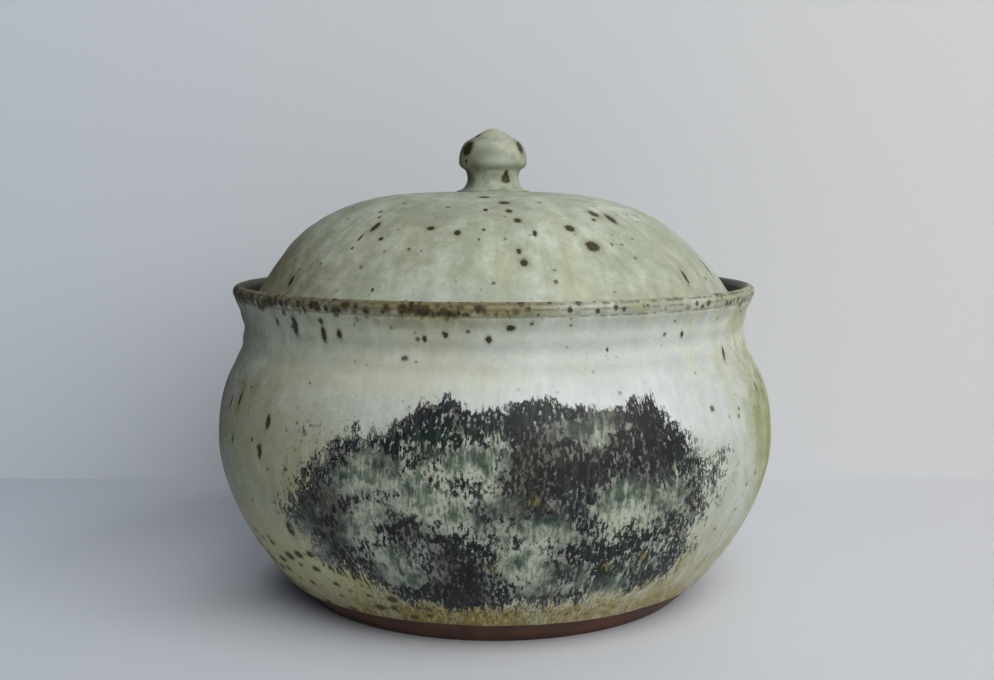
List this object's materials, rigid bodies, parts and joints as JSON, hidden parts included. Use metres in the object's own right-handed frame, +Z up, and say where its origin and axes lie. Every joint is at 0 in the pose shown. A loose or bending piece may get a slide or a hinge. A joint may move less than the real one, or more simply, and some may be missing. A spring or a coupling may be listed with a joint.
{
  "type": "lidded stoneware pot",
  "caption": "Round hand-thrown stoneware serving pot with a turned foot, narrowed neck and flared rim; a loose domed lid with an onion knob sits in a gallery inside the rim.",
  "frame": {"origin": "centre of the foot, on the surface that the pot stands on", "axes": "+Z up along the axis that every piece is turned about; -Y is the side that the picture shows, +X its right"},
  "size_m": [0.268, 0.268, 0.222],
  "materials": {
    "pot_glaze": "satin grey-green ash glaze on stoneware, bare clay at the foot",
    "lid_glaze": "satin grey-green ash glaze on stoneware with iron specks",
    "knob_glaze": "satin grey-green ash glaze on stoneware with iron specks"
  },
  "bodies": {
    "pot": {"pot_body": "pot_glaze"},
    "lid": {"lid": "lid_glaze", "knob": "knob_glaze"}
  },
  "joints": [
    {"name": "lid_lift", "type": "slide", "parent": "pot", "child": "lid", "axis": [0, 0, 1], "range_m": [0, 0.15]}
  ]
}
